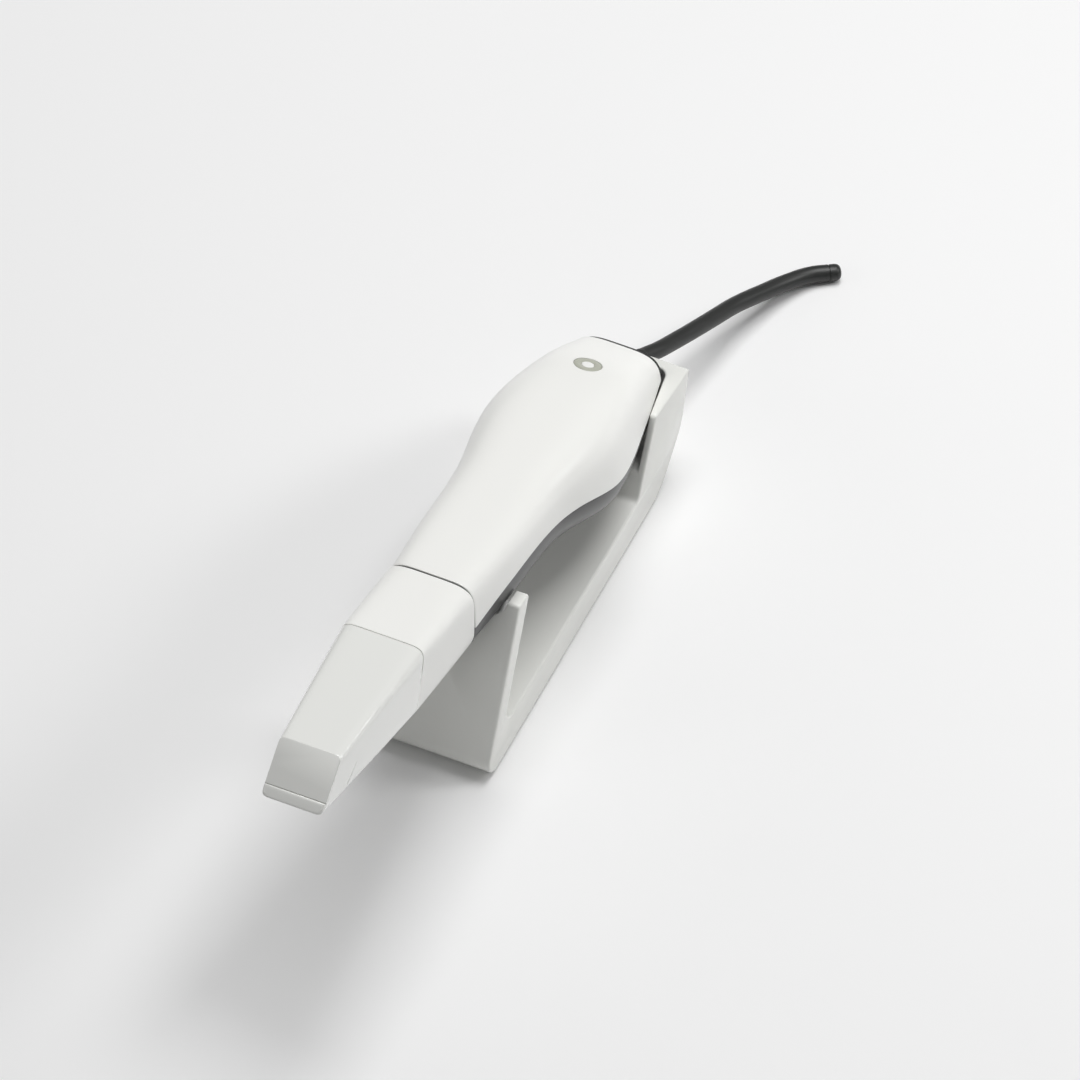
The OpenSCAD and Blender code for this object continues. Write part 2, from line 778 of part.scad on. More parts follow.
cradle_body();
ballast_block();
base_cover();
base_screws();
base_pad();
top_shell();
lower_shell();
rear_cap();
cap_screws();
front_nose();
joint_ring();
nose_window();
nose_seal();
nose_clips();
contact_pins();
optics_frame();
projector_barrel();
projector_lens();
camera_barrel();
camera_lens();
projector_module();
led_heat_sink();
camera_board();
image_sensor();
chassis_plate();
board_spacers();
board_screws();
main_board();
board_chips();
heat_spreader();
cable_header();
button_board();
button_switch();
ring_leds();
inner_lead();
cable_clamp();
strain_relief();
cable();
cable_end();
button_cap();
button_dot();
tip_collar();
tip_cover();
tip_mirror();
mirror_heater();
tip_contacts();
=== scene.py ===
import json
import math

import bmesh
import bpy
import numpy as np
from mathutils import Matrix, Vector


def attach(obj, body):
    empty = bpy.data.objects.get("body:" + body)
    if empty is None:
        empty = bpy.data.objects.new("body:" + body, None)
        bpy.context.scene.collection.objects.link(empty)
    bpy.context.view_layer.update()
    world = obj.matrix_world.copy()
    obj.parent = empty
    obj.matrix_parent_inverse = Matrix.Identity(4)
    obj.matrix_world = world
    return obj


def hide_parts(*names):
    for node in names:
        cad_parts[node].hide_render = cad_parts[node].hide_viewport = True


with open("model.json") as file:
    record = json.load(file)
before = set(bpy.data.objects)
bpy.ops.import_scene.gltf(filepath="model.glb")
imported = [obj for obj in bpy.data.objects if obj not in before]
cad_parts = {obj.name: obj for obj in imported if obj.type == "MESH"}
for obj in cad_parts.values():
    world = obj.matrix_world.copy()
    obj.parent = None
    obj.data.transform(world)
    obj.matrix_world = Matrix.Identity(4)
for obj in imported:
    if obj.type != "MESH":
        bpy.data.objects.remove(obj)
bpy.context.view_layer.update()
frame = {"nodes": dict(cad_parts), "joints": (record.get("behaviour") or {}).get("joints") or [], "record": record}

# Everything is in metres, in the CAD model's frame. MM turns a length in millimetres into metres.
MM = 0.001
nodes = frame["nodes"]

# ---------------------------------------------------------------- camera and cable

# The camera looks at the target from far away, so the view is almost parallel.
CAMERA_AZIMUTH = math.radians(24.5)
CAMERA_ELEVATION = math.radians(50)
CAMERA_DISTANCE = 12.0
CAMERA_TARGET = Vector((0.0, 0.0513, 0.0145))
# Width seen at the target, in metres, and the sensor's width in millimetres, give the lens.
VIEW_WIDTH = 0.2919
SENSOR = 36
CAMERA_LENS = SENSOR * CAMERA_DISTANCE / VIEW_WIDTH


def make_camera():
    """Camera at the photograph's viewing angle: a long lens from the front right, looking down."""
    back = Vector((
        math.sin(CAMERA_AZIMUTH) * math.cos(CAMERA_ELEVATION),
        -math.cos(CAMERA_AZIMUTH) * math.cos(CAMERA_ELEVATION),
        math.sin(CAMERA_ELEVATION),
    ))
    data = bpy.data.cameras.new("camera")
    data.lens = CAMERA_LENS
    data.clip_start, data.clip_end = 1, 40
    camera = bpy.data.objects.new("camera", data)
    camera.location = CAMERA_TARGET + back * CAMERA_DISTANCE
    camera.rotation_mode = "QUATERNION"
    camera.rotation_quaternion = (-back).to_track_quat("-Z", "Y")
    bpy.context.scene.collection.objects.link(camera)
    bpy.context.scene.camera = camera


make_camera()

# The cable's route, from the rear cap to its end on the desk, as the CAD model has it.
CABLE_ROUTE = [
    (0, 0.1042, 0.0275), (0, 0.107, 0.0268), (0.0004, 0.11, 0.0258), (0.0016, 0.1145, 0.024),
    (0.0036, 0.1196, 0.022), (0.0056, 0.127, 0.0191), (0.008, 0.136, 0.0159), (0.01, 0.144, 0.0131),
    (0.012, 0.1518, 0.0104), (0.014, 0.1572, 0.0086), (0.016, 0.1622, 0.0068), (0.018, 0.167, 0.0052),
    (0.0202, 0.1712, 0.004), (0.0224, 0.1746, 0.0032), (0.0248, 0.1772, 0.0027), (0.0274, 0.179, 0.0025),
]
# The cable's diameter.
CABLE_D = 0.0047
# The strain relief ends at this point of the route, and has this radius at the rear cap.
RELIEF_LAST = 3
RELIEF_R = 0.0035

# ---------------------------------------------------------------- curves and sections

# The handpiece lies along u, with v up out of its top and u = v = 0 at the top of the joint between
# body and tip. The tip slides along u, so its joint gives the handpiece's tilt. Sizes from here on
# are in millimetres, except where MM turns them into metres.
TIP_PULL = next(j for j in frame["joints"] if j["name"] == "tip_pull")
TILT = math.asin(TIP_PULL["axis"][2])
JOINT_Y = -19.1 * MM
JOINT_Z = 76.4 * MM
# The shells' length, front end, wall, and how far the lower one is set in and below the seam.
SHELL_LEN = 127
SHELL_FRONT = 0.3
WALL = 1.8
SHELL_STEP = 0.5
SHELL_GAP = 0.3
# The tip's two pieces: the collar's length, and the whole tip's.
COLLAR_LEN = 31.7
TIP_LEN = 78.4

# Outlines of the body along u, as the CAD model has them: half width at the seam, top line, side
# seam and bottom line.
BODY_HALF = [(0, 13), (20, 14.5), (50, 16), (80, 20.5), (110, 16.5), (131, 12.5)]
BODY_TOP = [(0, 0), (40, 0.5), (90, 3), (105, 0.5), (131, -10)]
BODY_SEAM = [(0, -16), (20, -12.5), (60, -12.5), (85, -18), (131, -15)]
BODY_BOTTOM = [(0, -24), (30, -25), (50, -27), (70, -31.5), (90, -35), (105, -34), (131, -27)]
# How far the sides lean in from the seam to the top.
BODY_LEAN = [(0, 0.5), (40, 1.5), (131, 2)]
# Squareness of the section above and below the seam.
BODY_SQUARE = [(0, 5.5), (30, 4.5), (131, 4)]
LOW_SQUARE = [(0, 5), (25, 4), (55, 2.4), (85, 2.4), (131, 3)]


def curve(points, x):
    """The smooth curve through the points, read at x."""
    px, py = np.array(points, float).T
    h = np.diff(px)
    rise = np.diff(py) / h
    inner = (rise[:-1] * h[1:] + rise[1:] * h[:-1]) / (h[1:] + h[:-1])
    slope = np.concatenate([rise[:1], inner, rise[-1:]])
    i = np.clip(np.searchsorted(px, x, side="right") - 1, 0, len(px) - 2)
    t = (x - px[i]) / h[i]
    return (py[i] * (1 + 2 * t) * (1 - t) ** 2 + py[i + 1] * t * t * (3 - 2 * t)
            + h[i] * t * (1 - t) * (slope[i] * (1 - t) - slope[i + 1] * t))


def distances(points):
    """How far each point lies along the line through them."""
    steps = np.linalg.norm(np.diff(points, axis=0), axis=1)
    return np.concatenate([[0], np.cumsum(steps)])


def squared(c, n):
    """A sine or cosine pushed outwards, which squares a section: 2 leaves an ellipse."""
    return np.sign(c) * np.abs(c) ** (2 / n)


def place(points):
    """Turns (x, u, v) in millimetres, in the handpiece's own axes, into the model's frame in metres."""
    p = np.asarray(points, float) * MM
    x, u, v = p[..., 0], p[..., 1], p[..., 2]
    return np.stack([
        x,
        JOINT_Y + u * math.cos(TILT) + v * math.sin(TILT),
        JOINT_Z - u * math.sin(TILT) + v * math.cos(TILT),
    ], -1)


HANDPIECE = Matrix.Translation((0, JOINT_Y, JOINT_Z)) @ Matrix.Rotation(-TILT, 4, "X")


def body_ring(s, angles, inset, drop):
    """Points of the body's section at u = s; angles 0 to 180 run over the top, 180 to 360 under.

    The section stands upright at the joint with the tip, and square to the body at the rear."""
    a = np.radians(angles)
    upper = np.asarray(angles) <= 180
    n = np.where(upper, curve(BODY_SQUARE, s), curve(LOW_SQUARE, s))
    seam = curve(BODY_SEAM, s) - drop
    reach = np.where(upper, curve(BODY_TOP, s) - inset - seam, seam - curve(BODY_BOTTOM, s) - inset)
    lift = squared(np.sin(a), n)
    lean = np.where(upper, curve(BODY_LEAN, s) * lift, 0)
    x = (curve(BODY_HALF, s) - lean - inset) * squared(np.cos(a), n)
    v = seam + reach * lift
    return np.stack([x, s - v * math.tan(TILT) * (1 - s / SHELL_LEN), v], -1)


# ---------------------------------------------------------------- mesh helpers


def add_object(name, verts, faces):
    """A mesh object whose faces all point outwards."""
    mesh = bpy.data.meshes.new(name)
    mesh.from_pydata([tuple(map(float, v)) for v in verts], [], [tuple(map(int, f)) for f in faces])
    mesh.validate()
    bm = bmesh.new()
    bm.from_mesh(mesh)
    bmesh.ops.recalc_face_normals(bm, faces=bm.faces)
    bm.to_mesh(mesh)
    bm.free()
    obj = bpy.data.objects.new(name, mesh)
    bpy.context.scene.collection.objects.link(obj)
    return obj


def without_slivers(obj, size=2e-6):
    """Closes up the tiny faces that cuts leave where edges nearly meet."""
    bm = bmesh.new()
    bm.from_mesh(obj.data)
    bmesh.ops.remove_doubles(bm, verts=bm.verts, dist=size)
    bmesh.ops.dissolve_degenerate(bm, edges=bm.edges, dist=size)
    bm.to_mesh(obj.data)
    bm.free()
    return obj


def smooth(obj, angle):
    """Smooth shading, with edges sharper than the angle kept."""
    bm = bmesh.new()
    bm.from_mesh(obj.data)
    for f in bm.faces:
        f.smooth = True
    for e in bm.edges:
        e.smooth = len(e.link_faces) == 2 and e.calc_face_angle(0) < math.radians(angle)
    bm.to_mesh(obj.data)
    bm.free()
    return obj


def baked(obj):
    """Applies the object's modifiers to its mesh."""
    graph = bpy.context.evaluated_depsgraph_get()
    mesh = bpy.data.meshes.new_from_object(obj.evaluated_get(graph))
    obj.modifiers.clear()
    obj.data = mesh
    return obj


def cut(obj, *cutters):
    """Cuts the cutters' shapes out of the object and deletes them."""
    for cutter in cutters:
        m = obj.modifiers.new("cut", "BOOLEAN")
        m.operation = "DIFFERENCE"
        m.solver = "EXACT"
        m.object = cutter
    baked(obj)
    for cutter in cutters:
        bpy.data.objects.remove(cutter)
    return obj


def bevel(obj, width, segments, angle):
    """Rounds the edges that are sharper than the angle; baked() applies it."""
    m = obj.modifiers.new("edges", "BEVEL")
    m.width = width
    m.segments = segments
    m.limit_method = "ANGLE"
    m.angle_limit = math.radians(angle)
    return obj


def rings_mesh(name, rings):
    """Closed rings of points joined into a tube, with flat ends."""
    n = len(rings[0])
    verts = np.concatenate(rings)
    faces = [
        (i * n + j, i * n + (j + 1) % n, (i + 1) * n + (j + 1) % n, (i + 1) * n + j)
        for i in range(len(rings) - 1) for j in range(n)
    ]
    faces.append(tuple(range(n)))
    faces.append(tuple((len(rings) - 1) * n + j for j in reversed(range(n))))
    return add_object(name, verts, faces)


def band_mesh(name, outer, inner):
    """A curved wall between two grids of points, closed round its four edges."""
    rows, cols = outer.shape[:2]
    verts = np.concatenate([outer.reshape(-1, 3), inner.reshape(-1, 3)])
    off = rows * cols

    def at(i, j):
        return i * cols + j

    faces = []
    for i in range(rows - 1):
        for j in range(cols - 1):
            quad = (at(i, j), at(i, j + 1), at(i + 1, j + 1), at(i + 1, j))
            faces.append(quad)
            faces.append(tuple(k + off for k in reversed(quad)))
    for i in range(rows - 1):
        for j in (0, cols - 1):
            faces.append((at(i, j), at(i + 1, j), at(i + 1, j) + off, at(i, j) + off))
    for j in range(cols - 1):
        for i in (0, rows - 1):
            faces.append((at(i, j), at(i, j + 1), at(i, j + 1) + off, at(i, j) + off))
    return add_object(name, verts, faces)


def prism(name, outline, low, high, matrix=Matrix()):
    """An outline of (x, y) points raised from z = low to z = high, then moved by the matrix."""
    n = len(outline)
    verts = [matrix @ Vector((p[0], p[1], z)) for z in (low, high) for p in outline]
    faces = [tuple(reversed(range(n))), tuple(range(n, 2 * n))]
    faces += [(j, (j + 1) % n, n + (j + 1) % n, n + j) for j in range(n)]
    return add_object(name, verts, faces)


def rounded(points, steps=10):
    """Outline through (x, y, radius) points, with each corner rounded."""
    out = []
    for k, (bx, by, r) in enumerate(points):
        b = Vector((bx, by))
        if r == 0:
            out.append(b)
            continue
        p = (Vector(points[k - 1][:2]) - b).normalized()
        q = (Vector(points[(k + 1) % len(points)][:2]) - b).normalized()
        half = p.angle(q) / 2
        centre = b + (p + q).normalized() * (r / math.sin(half))
        s = b + p * (r / math.tan(half)) - centre
        e = b + q * (r / math.tan(half)) - centre
        start = math.atan2(s.y, s.x)
        sweep = (math.atan2(e.y, e.x) - start + math.pi) % (2 * math.pi) - math.pi
        for i in range(steps + 1):
            turn = start + sweep * i / steps
            out.append(centre + Vector((math.cos(turn), math.sin(turn))) * r)
    return out


def circle(radius, steps=64):
    """Outline of a circle as (x, y) points."""
    turns = [2 * math.pi * i / steps for i in range(steps)]
    return [(radius * math.cos(turn), radius * math.sin(turn)) for turn in turns]


# ---------------------------------------------------------------- materials


BUMP_STRENGTH = 0.6


def principled(name):
    """A new material with its tree, its shader and the coordinates fixed to the object."""
    mat = bpy.data.materials.new(name)
    mat.use_nodes = True
    tree = mat.node_tree
    shader = next(n for n in tree.nodes if n.type == "BSDF_PRINCIPLED")
    coords = tree.nodes.new("ShaderNodeTexCoord")
    return mat, tree, shader, coords.outputs["Object"]


def noise(tree, coords, scale, detail, roughness=0.5, stretch=None):
    """Noise of so many waves a metre, drawn out along the axes where stretch is small."""
    if stretch is not None:
        mapping = tree.nodes.new("ShaderNodeMapping")
        mapping.inputs["Scale"].default_value = stretch
        tree.links.new(coords, mapping.inputs["Vector"])
        coords = mapping.outputs["Vector"]
    node = tree.nodes.new("ShaderNodeTexNoise")
    node.inputs["Scale"].default_value = scale
    node.inputs["Detail"].default_value = detail
    node.inputs["Roughness"].default_value = roughness
    tree.links.new(coords, node.inputs["Vector"])
    return node.outputs["Fac"]


def spread(tree, value, low, high):
    """Turns noise into numbers from low to high."""
    node = tree.nodes.new("ShaderNodeMapRange")
    node.inputs["From Min"].default_value = 0.1
    node.inputs["From Max"].default_value = 0.9
    node.inputs["To Min"].default_value = low
    node.inputs["To Max"].default_value = high
    tree.links.new(value, node.inputs["Value"])
    return node.outputs["Result"]


def tinted(tree, value, dark, light):
    """Turns noise into colours from dark to light."""
    node = tree.nodes.new("ShaderNodeValToRGB")
    node.color_ramp.elements[0].position = 0.1
    node.color_ramp.elements[0].color = (*dark, 1)
    node.color_ramp.elements[1].position = 0.9
    node.color_ramp.elements[1].color = (*light, 1)
    tree.links.new(value, node.inputs["Fac"])
    return node.outputs["Color"]


def bumped(tree, shader, value, depth, below=None):
    """Raises and lowers the surface by the depth in metres, on top of the bump below."""
    node = tree.nodes.new("ShaderNodeBump")
    node.inputs["Strength"].default_value = BUMP_STRENGTH
    node.inputs["Distance"].default_value = depth
    tree.links.new(value, node.inputs["Height"])
    if below is not None:
        tree.links.new(below, node.inputs["Normal"])
    tree.links.new(node.outputs["Normal"], shader.inputs["Normal"])
    return node.outputs["Normal"]


def moulded(name, colour, roughness, mottle, grain, grain_depth, wave=0, wave_depth=0, coat=0):
    """Moulded plastic: slight mottling, uneven gloss, fine grain, and the slow wave of a thick wall.

    The grain and the wave each have their waves a metre and their depth in metres."""
    mat, tree, shader, coords = principled(name)
    dark = tuple(c * (1 - mottle) for c in colour)
    tint = tinted(tree, noise(tree, coords, 25, 2), dark, colour)
    tree.links.new(tint, shader.inputs["Base Color"])
    gloss = spread(tree, noise(tree, coords, 30, 2), roughness * 0.93, roughness * 1.07)
    tree.links.new(gloss, shader.inputs["Roughness"])
    below = None
    if wave_depth:
        below = bumped(tree, shader, noise(tree, coords, wave, 1), wave_depth)
    bumped(tree, shader, noise(tree, coords, grain, 2), grain_depth, below)
    shader.inputs["Coat Weight"].default_value = coat
    shader.inputs["Coat Roughness"].default_value = 0.08
    shader.inputs["IOR"].default_value = 1.49
    return mat


def metal(name, colour, roughness, brush=None, grain_depth=3e-6):
    """Metal, with fine marks that run along the brushed axis."""
    mat, tree, shader, coords = principled(name)
    shader.inputs["Metallic"].default_value = 1.0
    dark = tuple(c * 0.9 for c in colour)
    tint = tinted(tree, noise(tree, coords, 220, 4), dark, colour)
    tree.links.new(tint, shader.inputs["Base Color"])
    streaks = noise(tree, coords, 900, 3, 0.6, brush)
    gloss = spread(tree, streaks, roughness * 0.75, roughness * 1.3)
    tree.links.new(gloss, shader.inputs["Roughness"])
    bumped(tree, shader, streaks, grain_depth)
    return mat


def glassy(name, colour, roughness=0.02):
    """Clear glass, with a faint unevenness in its tint and polish."""
    mat, tree, shader, coords = principled(name)
    light = tuple(min(1, c * 1.05) for c in colour)
    tint = tinted(tree, noise(tree, coords, 120, 2), colour, light)
    tree.links.new(tint, shader.inputs["Base Color"])
    gloss = spread(tree, noise(tree, coords, 300, 3), roughness, roughness * 2)
    tree.links.new(gloss, shader.inputs["Roughness"])
    shader.inputs["Transmission Weight"].default_value = 0.9
    shader.inputs["IOR"].default_value = 1.52
    return mat


def rubbery(name, colour, roughness, grain=2600, grain_depth=1.2e-5, stretch=None):
    """Rubber or a cable's jacket: mottled, with a grain that can be drawn out."""
    mat, tree, shader, coords = principled(name)
    dark = tuple(c * 0.8 for c in colour)
    tint = tinted(tree, noise(tree, coords, 300, 4, 0.6), dark, colour)
    tree.links.new(tint, shader.inputs["Base Color"])
    gloss = spread(tree, noise(tree, coords, 200, 4), roughness * 0.85, roughness * 1.15)
    tree.links.new(gloss, shader.inputs["Roughness"])
    bumped(tree, shader, noise(tree, coords, grain, 3, 0.6, stretch), grain_depth)
    return mat


def board_face(name):
    """Solder mask over copper tracks."""
    mat, tree, shader, coords = principled(name)
    tracks = tree.nodes.new("ShaderNodeTexBrick")
    tracks.inputs["Scale"].default_value = 180
    tracks.inputs["Mortar Size"].default_value = 0.03
    tracks.inputs["Color1"].default_value = (0.01, 0.09, 0.04, 1)
    tracks.inputs["Color2"].default_value = (0.012, 0.12, 0.05, 1)
    tracks.inputs["Mortar"].default_value = (0.02, 0.2, 0.08, 1)
    tree.links.new(coords, tracks.inputs["Vector"])
    tree.links.new(tracks.outputs["Color"], shader.inputs["Base Color"])
    gloss = spread(tree, noise(tree, coords, 200, 3), 0.3, 0.45)
    tree.links.new(gloss, shader.inputs["Roughness"])
    bumped(tree, shader, tracks.outputs["Fac"], 2e-5)
    return mat


MATERIALS = {
    "white_shell": moulded(
        "white_shell", (0.90, 0.90, 0.872), 0.32, 0.01, 1500, 1.5e-6,
        wave=50, wave_depth=1e-5, coat=0.15),
    "tip_plastic": moulded(
        "tip_plastic", (0.86, 0.865, 0.835), 0.16, 0.01, 2000, 1e-6,
        wave=60, wave_depth=8e-6, coat=1.0),
    "cradle_plastic": moulded(
        "cradle_plastic", (0.83, 0.835, 0.8), 0.26, 0.012, 1200, 2e-6,
        wave=45, wave_depth=1.2e-5, coat=0.25),
    "dark_shell": moulded(
        "dark_shell", (0.014, 0.014, 0.015), 0.34, 0.1, 1500, 2e-6,
        wave=80, wave_depth=1e-5, coat=0.1),
    "dark_cap": moulded("dark_cap", (0.014, 0.014, 0.015), 0.7, 0.1, 1500, 4e-6),
    "base_plastic": moulded("base_plastic", (0.6, 0.6, 0.57), 0.5, 0.04, 900, 1.5e-5),
    "nose_plastic": moulded("nose_plastic", (0.02, 0.02, 0.022), 0.55, 0.15, 1100, 1.2e-5),
    "ring_light": moulded("ring_light", (0.46, 0.47, 0.40), 0.35, 0.05, 2200, 3e-6),
    "button_white": moulded("button_white", (0.88, 0.88, 0.86), 0.32, 0.02, 2200, 3e-6),
    "header_plastic": moulded("header_plastic", (0.72, 0.72, 0.66), 0.45, 0.05, 1500, 6e-6),
    "led_resin": moulded("led_resin", (0.85, 0.83, 0.6), 0.2, 0.05, 2500, 3e-6),
    "chip_black": moulded("chip_black", (0.015, 0.015, 0.016), 0.5, 0.2, 3000, 8e-6),
    "heater_film": moulded("heater_film", (0.55, 0.22, 0.04), 0.3, 0.15, 2500, 3e-6),
    "pad_rubber": rubbery("pad_rubber", (0.06, 0.06, 0.06), 0.8, 1400, 4e-5),
    "seal_rubber": rubbery("seal_rubber", (0.012, 0.012, 0.012), 0.6),
    "lead_jacket": rubbery("lead_jacket", (0.026, 0.027, 0.026), 0.42, 3000, 3e-6, (1, 0.3, 1)),
    "ballast_steel": metal("ballast_steel", (0.35, 0.35, 0.36), 0.45, (1, 0.1, 1)),
    "screw_steel": metal("screw_steel", (0.55, 0.55, 0.57), 0.3),
    "spring_steel": metal("spring_steel", (0.62, 0.62, 0.64), 0.22, (1, 0.05, 1)),
    "gold_contact": metal("gold_contact", (0.83, 0.6, 0.25), 0.2),
    "alloy": metal("alloy", (0.7, 0.71, 0.73), 0.35, (1, 0.08, 1)),
    "barrel_black": metal("barrel_black", (0.05, 0.05, 0.055), 0.4),
    "module_grey": metal("module_grey", (0.2, 0.2, 0.21), 0.45),
    "tip_mirror_glass": metal("tip_mirror_glass", (0.9, 0.92, 0.94), 0.03, grain_depth=1e-7),
    "window_glass": glassy("window_glass", (0.8, 0.88, 0.92)),
    "lens_glass": glassy("lens_glass", (0.55, 0.6, 0.8)),
    "board_green": board_face("board_green"),
}
SLOTS = {row["node"]: row["material_slot"] for row in frame["record"]["subparts"]}


def stand_for(piece, node, body, finish=None):
    """The piece replaces the CAD node and rides on its body, in its slot's finish or in another."""
    slot = SLOTS[node]
    piece.data.materials.clear()
    piece.data.materials.append(MATERIALS[finish or slot])
    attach(piece, body)
    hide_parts(node)


# ---------------------------------------------------------------- cable


def smooth_path(points, per_span):
    """A denser path on the smooth curve through the points."""
    pts = np.array(points, float)
    along = distances(pts)
    spans = [np.linspace(a, b, per_span, endpoint=False) for a, b in zip(along[:-1], along[1:])]
    at = np.concatenate(spans + [along[-1:]])
    return np.stack([curve(list(zip(along, pts[:, k])), at) for k in range(3)], -1)


def path_frames(path):
    """Side and up at each point of a path."""
    ahead = np.gradient(path, axis=0)
    ahead /= np.linalg.norm(ahead, axis=1)[:, None]
    side = np.cross(ahead, [0, 0, 1])
    side /= np.linalg.norm(side, axis=1)[:, None]
    return side, np.cross(side, ahead)


def tube(name, path, radii, around=32):
    """A round tube along the path, with a radius at each of its points."""
    side, up = path_frames(path)
    a = np.linspace(0, 2 * math.pi, around, endpoint=False)
    rings = [
        p + r * (np.cos(a)[:, None] * s + np.sin(a)[:, None] * u)
        for p, r, s, u in zip(path, radii, side, up)]
    return smooth(rings_mesh(name, rings), 50)


def lathe(name, profile, matrix, steps=96):
    """A profile of (radius, z) points, from the axis and back to it, turned round z.

    Both ends are flat, so the first and last points only show where the profile closes."""
    rings = []
    for r, z in profile[1:-1]:
        rings.append(np.array([matrix @ Vector((x, y, z * MM)) for x, y in circle(r * MM, steps)]))
    return rings_mesh(name, rings)


def make_relief():
    """The strain relief: it tapers to the cable, with shallow ribs round it."""
    ribs, rib_share, rib_size = 7, 0.3, 0.9
    path = smooth_path(CABLE_ROUTE[:RELIEF_LAST + 1], per_span=16)
    t = np.linspace(0, 1, len(path))
    rib = np.where((t * ribs) % 1 < rib_share, rib_size, 1.0)
    radii = (RELIEF_R + (CABLE_D / 2 + 0.1 * MM - RELIEF_R) * t) * rib
    relief = tube("relief_boot", path, np.maximum(radii, CABLE_D / 2 + 0.06 * MM))
    stand_for(relief, "strain_relief", "handpiece")
    return relief


def make_plug(path):
    """The end piece: a plain connector of the cable's own thickness, with a groove and a round nose."""
    length, round_r = 4, 1.6
    r = 1000 * CABLE_D / 2
    nose = [
        (r - round_r * (1 - math.cos(a)), length - round_r * (1 - math.sin(a)))
        for a in np.radians(np.linspace(15, 90, 6))]
    groove = [(r, 0.5), (r - 0.2, 0.6), (r - 0.2, 0.8), (r, 0.9)]
    profile = [(0, 0), (r, 0)] + groove + [(r, length - round_r)] + nose + [(0, length)]
    turn = Vector(path[-1] - path[-2]).normalized().to_track_quat("Z", "Y").to_matrix().to_4x4()
    plug = lathe("cable_connector", profile, Matrix.Translation(path[-1]) @ turn)
    stand_for(smooth(plug, 40), "cable_end", "handpiece")
    return plug


def make_cable():
    """The cable in one length, with its strain relief and its end piece."""
    path = smooth_path(CABLE_ROUTE, per_span=6)
    lead = tube("cable_lead", path, np.full(len(path), CABLE_D / 2))
    stand_for(lead, "cable", "handpiece")
    relief = make_relief()
    plug = make_plug(path)


make_cable()

# ---------------------------------------------------------------- shells of the handpiece

# The scan button: its place along the body, its turn to the shell's surface there, its ring's radius
# and height, and the radius of its centre.
BUTTON_U = 104
BUTTON_TILT = math.radians(-14)
BUTTON_R = 3.9
BUTTON_H = 3.7
DOT_R = 1.8
# Height of the cable's middle where it leaves the rear cap.
CABLE_V = -20.9


def evened(points, count):
    """The open line through the points, as a number of points evenly spaced along it."""
    along = distances(points)
    at = np.linspace(0, along[-1], count)
    return np.stack([np.interp(at, along, points[:, k]) for k in range(3)], -1)


def half_ring(s, start, end, inset, drop, count):
    """One half of the body's section, top or bottom, with evenly spaced points."""
    angles = np.linspace(start, end, 500)
    return place(evened(body_ring(s, angles, inset, drop), count))


def full_ring(s, inset, count):
    """The body's whole section as a closed ring of points."""
    over = half_ring(s, 0, 180, inset, 0, count // 2 + 1)
    under = half_ring(s, 180, 360, inset, 0, count // 2 + 1)
    return np.concatenate([over[:-1], under[:-1]])


def make_shell(name, start, end, inset, drop, rim):
    """One of the two shells, with its wall and rounded rims."""
    around = 90
    stations = np.linspace(SHELL_FRONT, SHELL_LEN, 100)
    outer = np.array([half_ring(s, start, end, inset, drop, around) for s in stations])
    inner = np.array([half_ring(s, start, end, inset + WALL, drop, around) for s in stations])
    return baked(bevel(band_mesh(name, outer, inner), rim, 3, 50))


def on_button():
    """Axes of the scan button, on the shell's surface, with z up out of it."""
    foot = Matrix.Translation((0, BUTTON_U * MM, float(curve(BODY_TOP, BUTTON_U)) * MM))
    return HANDPIECE @ foot @ Matrix.Rotation(BUTTON_TILT, 4, "X")


def make_top_shell():
    """The white shell, with the scan button's hole."""
    shell = make_shell("top_shell_skin", 0, 180, 0, 0, 0.35 * MM)
    hole = circle((BUTTON_R + 0.12) * MM)
    cut(shell, prism("button_hole", hole, -6 * MM, 4 * MM, on_button()))
    stand_for(smooth(shell, 40), "top_shell", "handpiece")


def make_lower_shell():
    """The dark shell, set in a little under the white one."""
    shell = make_shell("lower_shell_skin", 180, 360, SHELL_STEP, SHELL_GAP, 0.3 * MM)
    stand_for(smooth(shell, 40), "lower_shell", "handpiece")


def rod_cutter(name, x, v, u0, u1, r):
    """A round cutter along u, in millimetres."""
    turn = Matrix.Translation((x * MM, 0, v * MM)) @ Matrix.Rotation(math.radians(-90), 4, "X")
    return prism(name, circle(r * MM, 48), u0 * MM, u1 * MM, HANDPIECE @ turn)


def make_rear_cap():
    """A shallow rounded cap behind the two shells, with the cable's hole and two screw holes."""
    straight, depth, shrink = 1.9, 1.2, 1.6
    # How far behind the shells, and how far set in.
    rows = [(0.1, 0.3)]
    for a in np.radians(np.linspace(0, 90, 10)):
        rows.append((straight + depth * math.sin(a), 0.4 + shrink * (1 - math.cos(a))))
    cap = rings_mesh("rear_cap_skin", [full_ring(SHELL_LEN + u, inset, 180) for u, inset in rows])
    front, rear, seat = SHELL_LEN - 1, SHELL_LEN + 6, SHELL_LEN + 1.8
    screw_x, screw_v, screw_r, head_r = 7.5, -16.5, 1.1, 2
    cutters = [rod_cutter("cable_hole", 0, CABLE_V, front, rear, 1000 * CABLE_D / 2 + 0.1)]
    for x in (-screw_x, screw_x):
        cutters.append(rod_cutter("screw_hole", x, screw_v, front, rear, screw_r))
        cutters.append(rod_cutter("screw_seat", x, screw_v, seat, rear, head_r))
    cut(cap, *cutters)
    # The cap is duller than the lower shell, whose slot it shares.
    stand_for(smooth(cap, 40), "rear_cap", "handpiece", "dark_cap")


